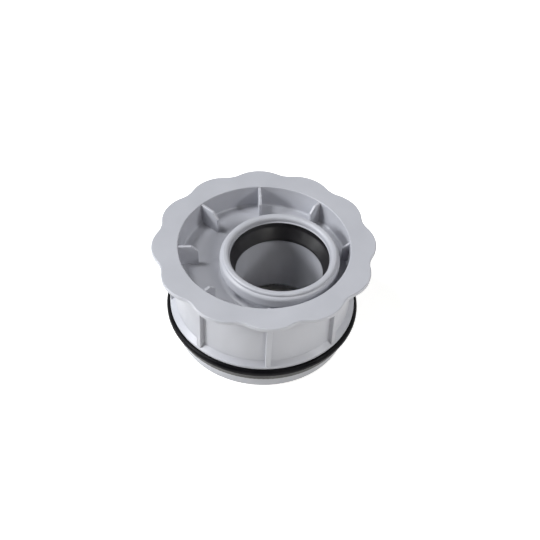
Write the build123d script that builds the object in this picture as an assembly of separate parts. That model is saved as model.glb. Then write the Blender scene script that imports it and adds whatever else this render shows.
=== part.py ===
from build123d import *
import os
from math import cos, radians, sin, sqrt

# Eccentric pipe reducer: a plug with a scalloped grip flange that is pushed into the open end of a
# drain pipe and takes a smaller pipe in a socket set off to one side. One grey moulding and two rubber
# rings. Millimetres, +Z up. The origin is on the spigot's axis at its lower end, on which the part
# stands, and +X points from that axis to the socket's axis.

# Pipes that the reducer joins
main_pipe_radius = 55.0  # outside of the large pipe
main_pipe_wall = 2.7
branch_pipe_radius = 25.0  # outside of the small pipe

# Heights of the moulding, counted up from its lower end
body_height = 60.0  # to the flange's top face
nose_length = 8.1
ring_groove_height = 9.5
collar_height = 1.4
shoulder_height = 2.4

# Spigot that goes into the large pipe
spigot_clearance = 0.9  # between the collar and the pipe
collar_projection = 2.9  # of the collar past the wall
ring_groove_sink = 0.4  # of the groove's bottom behind the wall
nose_step = 0.9  # of the nose's thick end past the wall
nose_taper = 1.1
wall_thickness = 2.5
wall_setback = 0.1  # of the hollow's wall behind the recess's rim
collar_edge_round = 0.35
nose_edge_round = 0.9

# Grip flange
flange_thickness = 2.5
flange_overhang = 5.0  # of the lobes past the large pipe
lobe_count = 12
lobe_depth = 3.0
valley_share = 0.68  # radius of a valley's arc as a share of a lobe's
flange_edge_round = 0.6
flange_root_round = 0.8
rim_edge_round = 0.5

# Recess inside the flange
recess_depth = 13.4
recess_taper = 0.5
recess_corner_round = 1.2
floor_thickness = 2.6

# Ribs, in the recess and under the flange
rib_count = 8
inner_rib_thickness = 1.6
inner_rib_drop = 0.5  # below the flange's top face
inner_rib_bevel_share = 0.7  # of the shortest inner rib's length
inner_rib_corner = 0.8
rib_end_share = 0.45  # place of the inner ribs' ends between the recess's wall and the socket
outer_rib_thickness = 3.0
outer_rib_setback = 0.3  # behind the collar
rib_edge_round = 0.4

# Socket for the small pipe
socket_offset = 11.0
socket_proud = 1.0  # of the socket's rim above the flange
socket_clearance = 0.3
tube_wall = 2.7
tube_end_height = 9.5  # of the tube's lower end above the spigot's
tube_edge_round = 0.5
mouth_clearance = 1.6  # of the mouth past the bore
mouth_height = 3.7
mouth_wall = 3.6
mouth_round = 1.7
mouth_outer_round = 1.0
ledge_depth = 0.5  # of the ledge that holds the seal down
ledge_height = 0.6
ledge_round = 0.2
neck_drop = 1.6  # of the crease below the rim, where the bead starts
neck_round = 0.5
bead_wall = 2.7
bead_round = 2.2
bead_drop = 2.5  # of the bead's upper corner below the rim
waist_wall = 4.4
foot_round = 3.0
foot_land = 0.1  # from the foot's rounding to the tube's root
seal_groove_depth = 3.9
seal_groove_height = 5.0
relief_depth = 2.3  # of the cone under the seal, which leaves room for its lip
relief_height = 6.3

# Rubber rings
seat_gap = 0.1  # between a ring and the walls of its groove
ring_squeeze = 1.1  # of the spigot's ring past the large pipe's inside
ring_round = 1.85
ring_band_clearance = 1.6  # between the ring's lower band and the large pipe
ring_band_height = 5.0
ring_band_round = 0.5
lip_squeeze = 1.55  # of the socket seal's lip inside the small pipe's outside
lip_land = 1.5
lip_thickness = 0.9
lip_root_gap = 0.3
lip_reach = 5.6  # of the lip below the seal's seat
seal_inset = 0.2  # of the mouth behind the seal
seal_cone_rise = 2.2  # of the cone's upper end above the seal's seat
seal_cone_round = 2.0
rubber_edge_round = 0.3

# Radii that follow from the large pipe
pipe_inside = main_pipe_radius - main_pipe_wall
collar_radius = pipe_inside - spigot_clearance
wall_radius = collar_radius - collar_projection
ring_groove_radius = wall_radius - ring_groove_sink
nose_top_radius = wall_radius + nose_step
nose_end_radius = nose_top_radius - nose_taper
opening_radius = wall_radius - wall_thickness
hollow_radius = opening_radius - wall_setback
lobe_radius = main_pipe_radius + flange_overhang
valley_radius = lobe_radius - lobe_depth

# Radii that follow from the small pipe
bore_radius = branch_pipe_radius + socket_clearance
tube_radius = bore_radius + tube_wall
mouth_radius = bore_radius + mouth_clearance
mouth_outer_radius = mouth_radius + mouth_wall
seal_groove_radius = bore_radius + seal_groove_depth
bead_radius = seal_groove_radius + bead_wall
waist_radius = bore_radius + waist_wall
relief_radius = bore_radius + relief_depth
lip_radius = branch_pipe_radius - lip_squeeze

# Heights that follow
ring_groove_top = nose_length + ring_groove_height
collar_top = ring_groove_top + collar_height
shoulder_top = collar_top + shoulder_height
flange_bottom = body_height - flange_thickness
recess_floor = body_height - recess_depth
hollow_top = recess_floor - floor_thickness
socket_top = body_height + socket_proud
seal_groove_roof = socket_top - mouth_height
seal_seat = seal_groove_roof - seal_groove_height


def turned(section, axis_x=0.0):
    """Solid of revolution about an upright axis, from corners of radius, height and rounding."""
    corners = [(axis_x + radius, height) for radius, height, _ in section]
    rounding = [corner_round for _, _, corner_round in section]
    with BuildPart() as solid:
        with BuildSketch(Plane.XZ):
            with BuildLine():
                FilletPolyline(*corners, radius=rounding, close=True)
            make_face()
        revolve(axis=Axis((axis_x, 0, 0), (0, 0, 1)))
    return solid.part


def polar(radius, angle):
    return Vector(radius * cos(radians(angle)), radius * sin(radians(angle)))


def scallop():
    """Wavy outline of the flange: lobe arcs that run tangent into hollow valley arcs."""
    half_pitch = 180 / lobe_count
    turn = cos(radians(half_pitch))
    # The arcs' centres are one lobe and one valley radius apart, which fixes the lobe's radius.
    constant = lobe_radius**2 + valley_radius**2 - 2 * turn * lobe_radius * valley_radius
    linear = lobe_radius - turn * valley_radius + valley_share * (turn * lobe_radius - valley_radius)
    square = 2 * valley_share * (1 - turn)
    lobe_arc = (sqrt(linear**2 + square * constant) - linear) / square
    valley_arc = valley_share * lobe_arc
    with BuildLine() as outline:
        for index in range(lobe_count):
            valley_angle = 2 * half_pitch * index
            joints = []
            for side in (-1, 1):
                lobe_centre = polar(lobe_radius - lobe_arc, valley_angle + side * half_pitch)
                valley_centre = polar(valley_radius + valley_arc, valley_angle)
                joints.append(lobe_centre + (valley_centre - lobe_centre).normalized() * lobe_arc)
            ThreePointArc(joints[0], polar(valley_radius, valley_angle), joints[1])
            next_joint = joints[0].rotate(Axis.Z, 2 * half_pitch)
            ThreePointArc(joints[1], polar(lobe_radius, valley_angle + half_pitch), next_joint)
    return make_face(outline.line)


def grip_flange():
    """Thin scalloped disc with rounded edges, open in the middle."""
    plate = Pos(0, 0, flange_bottom) * extrude(scallop(), flange_thickness)
    rims = plate.faces().filter_by(Axis.Z).edges()
    plate = fillet(rims, flange_edge_round)
    hole = Cylinder((opening_radius + wall_radius) / 2, 2 * flange_thickness)
    return plate - Pos(0, 0, flange_bottom) * hole


def spigot_shell():
    """Cup-shaped wall with the recess above its floor and the open hollow below it."""
    flange_joint = wall_radius + 2 * flange_root_round
    return turned(
        [
            (0, hollow_top, 0),
            (hollow_radius, hollow_top, recess_corner_round),
            (hollow_radius, 0, collar_edge_round),
            (nose_end_radius, 0, nose_edge_round),
            (nose_top_radius, nose_length, collar_edge_round),
            (ring_groove_radius, nose_length, 0),
            (ring_groove_radius, ring_groove_top, 0),
            (collar_radius, ring_groove_top, collar_edge_round),
            (collar_radius, collar_top, collar_edge_round),
            (wall_radius, shoulder_top, 0),
            (wall_radius, flange_bottom, flange_root_round),
            (flange_joint, flange_bottom, 0),
            (flange_joint, body_height, 0),
            (opening_radius, body_height, rim_edge_round),
            (opening_radius - recess_taper, recess_floor, recess_corner_round),
            (0, recess_floor, 0),
        ]
    )


def socket_tube():
    """Tube of the socket, with its seal bead and mouth above the floor and a plain end below it."""
    foot_radius = waist_radius + foot_round + foot_land
    ledge_top = seal_groove_roof + ledge_height
    return turned(
        [
            (bore_radius, tube_end_height, tube_edge_round),
            (tube_radius, tube_end_height, tube_edge_round),
            (tube_radius, hollow_top, 0),
            (foot_radius, hollow_top, 0),
            (foot_radius, recess_floor, 0),
            (waist_radius, recess_floor, foot_round),
            (waist_radius, seal_seat - bead_round / 2, 0),
            (bead_radius, seal_seat, bead_round),
            (bead_radius, socket_top - bead_drop, bead_round),
            (mouth_outer_radius, socket_top - neck_drop, neck_round),
            (mouth_outer_radius, socket_top, mouth_outer_round),
            (mouth_radius, socket_top, mouth_round),
            (mouth_radius, ledge_top, 0),
            (mouth_radius - ledge_depth, ledge_top, ledge_round),
            (mouth_radius - ledge_depth, seal_groove_roof, ledge_round),
            (seal_groove_radius, seal_groove_roof, 0),
            (seal_groove_radius, seal_seat, 0),
            (relief_radius, seal_seat, 0),
            (bore_radius, seal_seat - relief_height, 0),
        ],
        socket_offset,
    )


def rib(outline, thickness, free_edges):
    """Upright plate that points outwards, from corners of radius, height and rounding."""
    corners = [(radius, height) for radius, height, _ in outline]
    rounding = [corner_round for _, _, corner_round in outline]
    with BuildPart() as plate:
        with BuildSketch(Plane.XZ):
            with BuildLine():
                FilletPolyline(*corners, radius=rounding, close=True)
            make_face()
        extrude(amount=thickness / 2, both=True)
        side_edges = plate.faces().filter_by(Axis.Y).edges()
        fillet(side_edges.filter_by(free_edges), rib_edge_round)
    return plate.part


def inner_rib_end(angle):
    """Radius at which an inner rib ends, on a ring that lies between the recess's wall and the socket."""
    ring_offset = rib_end_share * socket_offset
    ring_radius = opening_radius + rib_end_share * (waist_radius - opening_radius)
    ring_side = ring_offset * sin(radians(angle))
    return ring_offset * cos(radians(angle)) + sqrt(ring_radius**2 - ring_side**2)


def inner_rib(angle):
    """Gusset that stands on the recess's floor, against its wall, with its inner corner bevelled."""
    end = inner_rib_end(angle)
    root = opening_radius + wall_thickness / 2
    foot = recess_floor - floor_thickness / 2
    top = body_height - inner_rib_drop
    bevel = inner_rib_bevel_share * (root - inner_rib_end(360 / rib_count))
    outline = [
        (end, foot, 0),
        (root, foot, 0),
        (root, top, 0),
        (end + bevel, top, inner_rib_corner),
        (end, top - bevel, inner_rib_corner),
    ]

    def free(edge):
        middle = edge.center()
        return middle.X < root - rib_edge_round / 4 and middle.Z > foot + rib_edge_round / 4

    return rib(outline, inner_rib_thickness, free).rotate(Axis.Z, angle)


def outer_rib(angle):
    """Gusset between the flange and the shoulder, almost flush with the collar."""
    root = wall_radius - wall_thickness / 2
    reach = collar_radius - outer_rib_setback
    top = flange_bottom + flange_thickness / 2
    outline = [(root, collar_top, 0), (reach, collar_top, 0), (reach, top, 0), (root, top, 0)]

    def free(edge):
        return edge.center().X > reach - rib_edge_round

    return rib(outline, outer_rib_thickness, free).rotate(Axis.Z, angle)


def reducer_body():
    """The whole grey moulding."""
    floor_hole = Cylinder(bore_radius + tube_wall / 2, 2 * floor_thickness + recess_depth)
    shell = spigot_shell() - Pos(socket_offset, 0, recess_floor) * floor_hole
    angles = [360 / rib_count * index for index in range(rib_count)]
    ribs = [outer_rib(angle) for angle in angles]
    # The socket stands close to the wall at the first angle, so the inner ribs start at the next one.
    ribs += [inner_rib(angle) for angle in angles[1:]]
    return shell + [grip_flange(), socket_tube()] + ribs


def socket_seal():
    """Rubber ring in the socket's bead, with a thin lip that leans in and down."""
    outside = seal_groove_radius - seat_gap
    inside = mouth_radius - seal_inset
    top = seal_groove_roof - seat_gap
    lip_end = seal_seat - lip_reach
    return turned(
        [
            (outside, top, rubber_edge_round),
            (outside, seal_seat, rubber_edge_round),
            (relief_radius - lip_root_gap, seal_seat, 0),
            (lip_radius + lip_thickness, lip_end, rubber_edge_round),
            (lip_radius, lip_end, rubber_edge_round),
            (lip_radius, lip_end + lip_land, 0),
            (inside, seal_seat + seal_cone_rise, seal_cone_round),
            (inside, top, rubber_edge_round),
        ],
        socket_offset,
    )


def spigot_seal():
    """Rubber ring in the groove between nose and collar: a low band with a rounded bulge above it."""
    inside = ring_groove_radius + seat_gap
    band_radius = pipe_inside - ring_band_clearance
    outside = pipe_inside + ring_squeeze
    bulge_bottom = nose_length + ring_band_height
    top = ring_groove_top - seat_gap
    return turned(
        [
            (inside, nose_length, rubber_edge_round),
            (band_radius, nose_length, ring_band_round),
            (band_radius, bulge_bottom, ring_band_round),
            (outside, bulge_bottom, ring_round),
            (outside, top, ring_round),
            (inside, top, rubber_edge_round),
        ]
    )


os.makedirs("parts", exist_ok=True)
export_step(reducer_body(), "parts/reducer_body.step")
export_step(socket_seal(), "parts/socket_seal.step")
export_step(spigot_seal(), "parts/spigot_seal.step")
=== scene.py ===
from math import cos, radians, sin

import bpy
from mathutils import Matrix, Vector

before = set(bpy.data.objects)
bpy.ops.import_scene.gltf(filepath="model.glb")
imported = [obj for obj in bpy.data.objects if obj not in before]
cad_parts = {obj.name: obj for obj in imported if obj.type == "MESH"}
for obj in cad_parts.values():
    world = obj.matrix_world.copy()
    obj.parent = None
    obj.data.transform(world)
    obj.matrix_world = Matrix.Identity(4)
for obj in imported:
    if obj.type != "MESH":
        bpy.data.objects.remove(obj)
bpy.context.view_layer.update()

scene = bpy.context.scene

# Photo's view, measured at the middle of the flange's top face. Angles in degrees, lengths in metres.
image_px = 540
focal_px = 1000.0
view_elevation = 45.85
view_azimuth = 39.5
view_roll = 2.69
view_distance = 0.5318
aim_right = 0.00298
aim_up = -0.01396
flange_top = 0.060
sensor_mm = 36.0
clip_start = 0.01

# Colours, linear
white = (1.0, 1.0, 1.0, 1.0)
plastic_dark = (0.432, 0.437, 0.474, 1.0)
plastic_light = (0.478, 0.483, 0.522, 1.0)
ring_dark = (0.0025, 0.0025, 0.0035, 1.0)
ring_light = (0.007, 0.0065, 0.008, 1.0)
lip_dark = (0.003, 0.0025, 0.0036, 1.0)
lip_light = (0.008, 0.007, 0.0086, 1.0)
# Painted reflection of the pale floor on the spigot ring's low band, mottled
painted_floor_sheen_dark = (0.110, 0.110, 0.112, 1.0)
painted_floor_sheen_light = (0.170, 0.168, 0.165, 1.0)
floor_colour = (0.92, 0.91, 0.88, 1.0)
floor_roughness = 0.9
floor_white = 0.65  # white that the floor adds near the part, where it is seen or mirrored

# Gloss: roughness of the smoothest and the roughest patches, and level of sheen
plastic_gloss = (0.33, 0.43, 0.4)
lip_gloss = (0.32, 0.42, 0.8)
ring_gloss = (0.24, 0.34, 0.05)

# Noise patterns: waves a metre, octaves of detail, and how dense the waves are along x, y and z
even = (1, 1, 1)
plastic_clouds = (45, 3, (1, 1, 0.5))
plastic_patches = (160, 4, even)
plastic_waves = (120, 1, even)
plastic_grain = (3200, 2, even)
rubber_mottle = (90, 4, (1, 1, 2))
rubber_patches = (210, 3, even)
rubber_grain = (2600, 3, even)
usual_noise = (0.3, 0.7)  # range that holds most values of a noise

# Bumps: depth in metres, and strength
plastic_wave_bump = (0.0002, 0.12)
plastic_grain_bump = (0.00004, 0.35)
rubber_grain_bump = (0.00005, 0.4)

# Places on the floor and the part, metres
floor_half = 3.0
spigot_end_inside = 0.046  # radius of the hollow at the lower end, round the floor in shade
spigot_end_outside = 0.047
lamp_reach = 0.3  # radius from which the floor makes up for the lamps' falling light
lamp_end = 1.0
painted_sheen_top = 0.0131  # height up to which the spigot's ring is painted paler, a painted reflection of the floor
painted_sheen_fade = 0.0006

# Lamps: degrees round the part from the camera's right, elevation, metres off, size, watts and tint
cool_white = (0.965, 0.985, 1.0)
warm_white = (1.0, 0.975, 0.935)
lights = {
    "key_low": (195, 29, 2.0, 0.5, 26.5, cool_white),
    "key_high": (172, 60, 2.0, 0.5, 18.0, cool_white),
    "key_side": (180, 18, 2.0, 0.5, 10.0, cool_white),
    "right": (-18, 37, 1.0, 0.2, 3.1, cool_white),
    "front_right": (-50, 45, 0.5, 0.18, 0.34, warm_white),
    "front_low": (-60, 12, 0.7, 0.25, 0.45, warm_white),
}

# Surroundings in a mirror: white, but dark on the photographer's side. Cosines of the angle to the front.
dark_start = -0.2
dark_full = 0.5


def photo_axes():
    """Right, up and back directions of the photo's camera, in the frame's axes."""
    tilt = radians(view_elevation)
    turn = Matrix.Rotation(radians(view_azimuth), 3, "Z")
    right = turn @ Vector((1, 0, 0))
    up = turn @ Vector((0, sin(tilt), cos(tilt)))
    back = turn @ Vector((0, -cos(tilt), sin(tilt)))
    roll = radians(view_roll)
    return cos(roll) * right + sin(roll) * up, cos(roll) * up - sin(roll) * right, back


def combine(tree, operation, first, second):
    """Math node on two values."""
    node = tree.nodes.new("ShaderNodeMath")
    node.operation = operation
    tree.links.new(first, node.inputs[0])
    tree.links.new(second, node.inputs[1])
    return node.outputs["Value"]


def map_range(tree, value, old, new):
    """The value's old range mapped to a new one, and held at its ends."""
    node = tree.nodes.new("ShaderNodeMapRange")
    for name, limit in zip(("From Min", "From Max", "To Min", "To Max"), (*old, *new)):
        node.inputs[name].default_value = limit
    tree.links.new(value, node.inputs["Value"])
    return node.outputs["Result"]


def noise(tree, place, pattern):
    """Noise on object coordinates."""
    waves, detail, density = pattern
    mapping = tree.nodes.new("ShaderNodeMapping")
    mapping.inputs["Scale"].default_value = density
    texture = tree.nodes.new("ShaderNodeTexNoise")
    texture.inputs["Scale"].default_value = waves
    texture.inputs["Detail"].default_value = detail
    tree.links.new(place.outputs["Object"], mapping.inputs["Vector"])
    tree.links.new(mapping.outputs["Vector"], texture.inputs["Vector"])
    return texture.outputs["Fac"]


def colour_ramp(tree, value, low, high):
    """Colours from low to high over a noise's usual range."""
    ramp = tree.nodes.new("ShaderNodeValToRGB")
    for step, position, colour in zip(ramp.color_ramp.elements, usual_noise, (low, high)):
        step.position = position
        step.color = colour
    tree.links.new(value, ramp.inputs["Fac"])
    return ramp.outputs["Color"]


def bump(tree, height, size, below=None):
    """Bumps from a height, on top of those below."""
    depth, strength = size
    node = tree.nodes.new("ShaderNodeBump")
    node.inputs["Distance"].default_value = depth
    node.inputs["Strength"].default_value = strength
    tree.links.new(height, node.inputs["Height"])
    if below is not None:
        tree.links.new(below, node.inputs["Normal"])
    return node.outputs["Normal"]


def seen_or_mirrored(tree, mirrored_share=None):
    """One for rays from the camera, through glass or off gloss, or a share for those off gloss."""
    path = tree.nodes.new("ShaderNodeLightPath").outputs
    mirrored = path["Is Glossy Ray"]
    if mirrored_share is not None:
        mirrored = combine(tree, "MULTIPLY", mirrored, mirrored_share)
    direct = combine(tree, "MAXIMUM", path["Is Camera Ray"], mirrored)
    return combine(tree, "MAXIMUM", direct, path["Is Transmission Ray"])


def white_behind(tree):
    """Share of white by direction: all at the back, none on the photographer's side."""
    front = photo_axes()[2]
    front.z = 0
    place = tree.nodes.new("ShaderNodeTexCoord")
    towards_front = tree.nodes.new("ShaderNodeVectorMath")
    towards_front.operation = "DOT_PRODUCT"
    towards_front.inputs[1].default_value = front.normalized()
    tree.links.new(place.outputs["Generated"], towards_front.inputs[0])
    return map_range(tree, towards_front.outputs["Value"], (dark_start, dark_full), (1.0, 0.0))


def add_camera():
    """The photo's camera."""
    right, up, back = photo_axes()
    data = bpy.data.cameras.new("photo_camera")
    data.sensor_width = sensor_mm
    data.lens = sensor_mm * focal_px / image_px
    data.clip_start = clip_start
    camera = bpy.data.objects.new("photo_camera", data)
    place = Vector((0, 0, flange_top)) + aim_right * right + aim_up * up + view_distance * back
    camera.matrix_world = Matrix.Translation(place) @ Matrix((right, up, back)).transposed().to_4x4()
    scene.collection.objects.link(camera)
    scene.camera = camera


def add_lights():
    """Disk lamps round the part, aimed at its middle."""
    for name, (azimuth, elevation, distance, size, watts, tint) in lights.items():
        data = bpy.data.lights.new(name, "AREA")
        data.shape = "DISK"
        data.size = size
        data.energy = watts
        data.color = tint
        light = bpy.data.objects.new(name, data)
        round_angle = radians(azimuth + view_azimuth)
        rise = radians(elevation)
        direction = Vector((cos(rise) * cos(round_angle), cos(rise) * sin(round_angle), sin(rise)))
        light.location = Vector((0, 0, flange_top / 2)) + distance * direction
        light.rotation_euler = direction.to_track_quat("Z", "Y").to_euler()
        light.visible_camera = False
        scene.collection.objects.link(light)


def add_world():
    """Surroundings that are white where they are seen or mirrored, and give no other light."""
    world = bpy.data.worlds.new("studio")
    scene.world = world
    world.use_nodes = True
    tree = world.node_tree
    background = tree.nodes["Background"]
    background.inputs["Color"].default_value = white
    tree.links.new(seen_or_mirrored(tree, white_behind(tree)), background.inputs["Strength"])


def new_material(name):
    """A material with its node tree and shader."""
    material = bpy.data.materials.new(name)
    material.use_nodes = True
    return material, material.node_tree, material.node_tree.nodes["Principled BSDF"]


def set_gloss(tree, shader, place, patches, gloss):
    """Patches of uneven roughness under an even level of sheen."""
    smooth, rough, sheen = gloss
    roughness = map_range(tree, noise(tree, place, patches), usual_noise, (smooth, rough))
    tree.links.new(roughness, shader.inputs["Roughness"])
    shader.inputs["Specular IOR Level"].default_value = sheen


def grey_plastic():
    """Satin moulded plastic: faint cloudy flow, fine spark-eroded grain and uneven gloss."""
    material, tree, shader = new_material("grey_plastic")
    place = tree.nodes.new("ShaderNodeTexCoord")
    clouds = colour_ramp(tree, noise(tree, place, plastic_clouds), plastic_dark, plastic_light)
    tree.links.new(clouds, shader.inputs["Base Color"])
    set_gloss(tree, shader, place, plastic_patches, plastic_gloss)
    waves = bump(tree, noise(tree, place, plastic_waves), plastic_wave_bump)
    grain = bump(tree, noise(tree, place, plastic_grain), plastic_grain_bump, waves)
    tree.links.new(grain, shader.inputs["Normal"])
    return material


def black_rubber(name, dark, light, gloss):
    """Soft black rubber with a sheen, fine grain and mottled tone, and a paler low band on the spigot
    ring that is a painted reflection of the floor.
    """
    material, tree, shader = new_material(name)
    place = tree.nodes.new("ShaderNodeTexCoord")
    mottle = noise(tree, place, rubber_mottle)
    height = tree.nodes.new("ShaderNodeSeparateXYZ")
    tree.links.new(place.outputs["Object"], height.inputs["Vector"])
    # Below the band's top the ring takes the paler colours of the painted floor reflection
    band_edge = (painted_sheen_top - painted_sheen_fade, painted_sheen_top)
    colour = tree.nodes.new("ShaderNodeMix")
    colour.data_type = "RGBA"
    tree.links.new(map_range(tree, height.outputs["Z"], band_edge, (0.0, 1.0)), colour.inputs["Factor"])
    tree.links.new(colour_ramp(tree, mottle, painted_floor_sheen_dark, painted_floor_sheen_light), colour.inputs["A"])
    tree.links.new(colour_ramp(tree, mottle, dark, light), colour.inputs["B"])
    tree.links.new(colour.outputs["Result"], shader.inputs["Base Color"])
    set_gloss(tree, shader, place, rubber_patches, gloss)
    grain = bump(tree, noise(tree, place, rubber_grain), rubber_grain_bump)
    tree.links.new(grain, shader.inputs["Normal"])
    return material


def floor_material():
    """Pale and matt, with white added where it is seen or mirrored, but none inside the spigot."""
    material, tree, shader = new_material("floor")
    shader.inputs["Base Color"].default_value = floor_colour
    shader.inputs["Roughness"].default_value = floor_roughness
    shader.inputs["Emission Color"].default_value = white
    place = tree.nodes.new("ShaderNodeTexCoord")
    off_axis = tree.nodes.new("ShaderNodeVectorMath")
    off_axis.operation = "LENGTH"
    tree.links.new(place.outputs["Object"], off_axis.inputs["Vector"])
    # The ramp's positions are metres off the axis. Its ends stay black and white, as in a new ramp.
    glow = tree.nodes.new("ShaderNodeValToRGB")
    steps = glow.color_ramp.elements
    steps[0].position = spigot_end_inside
    steps[1].position = lamp_end
    for radius in (spigot_end_outside, lamp_reach):
        steps.new(radius).color = (floor_white, floor_white, floor_white, 1)
    tree.links.new(off_axis.outputs["Value"], glow.inputs["Fac"])
    strength = combine(tree, "MULTIPLY", glow.outputs["Color"], seen_or_mirrored(tree))
    tree.links.new(strength, shader.inputs["Emission Strength"])
    return material


def add_floor():
    """Square floor under the part."""
    low, high = -floor_half, floor_half
    mesh = bpy.data.meshes.new("floor")
    mesh.from_pydata([(low, low, 0), (high, low, 0), (high, high, 0), (low, high, 0)], [], [(0, 1, 2, 3)])
    mesh.materials.append(floor_material())
    floor = bpy.data.objects.new("floor", mesh)
    scene.collection.objects.link(floor)


def dress(node, material):
    """Gives a CAD node its material."""
    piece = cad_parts[node]
    piece.data.materials.clear()
    piece.data.materials.append(material)


scene.view_settings.view_transform = "Standard"
add_camera()
add_lights()
add_world()
add_floor()
dress("reducer_body", grey_plastic())
dress("socket_seal", black_rubber("lip_rubber", lip_dark, lip_light, lip_gloss))
dress("spigot_seal", black_rubber("ring_rubber", ring_dark, ring_light, ring_gloss))
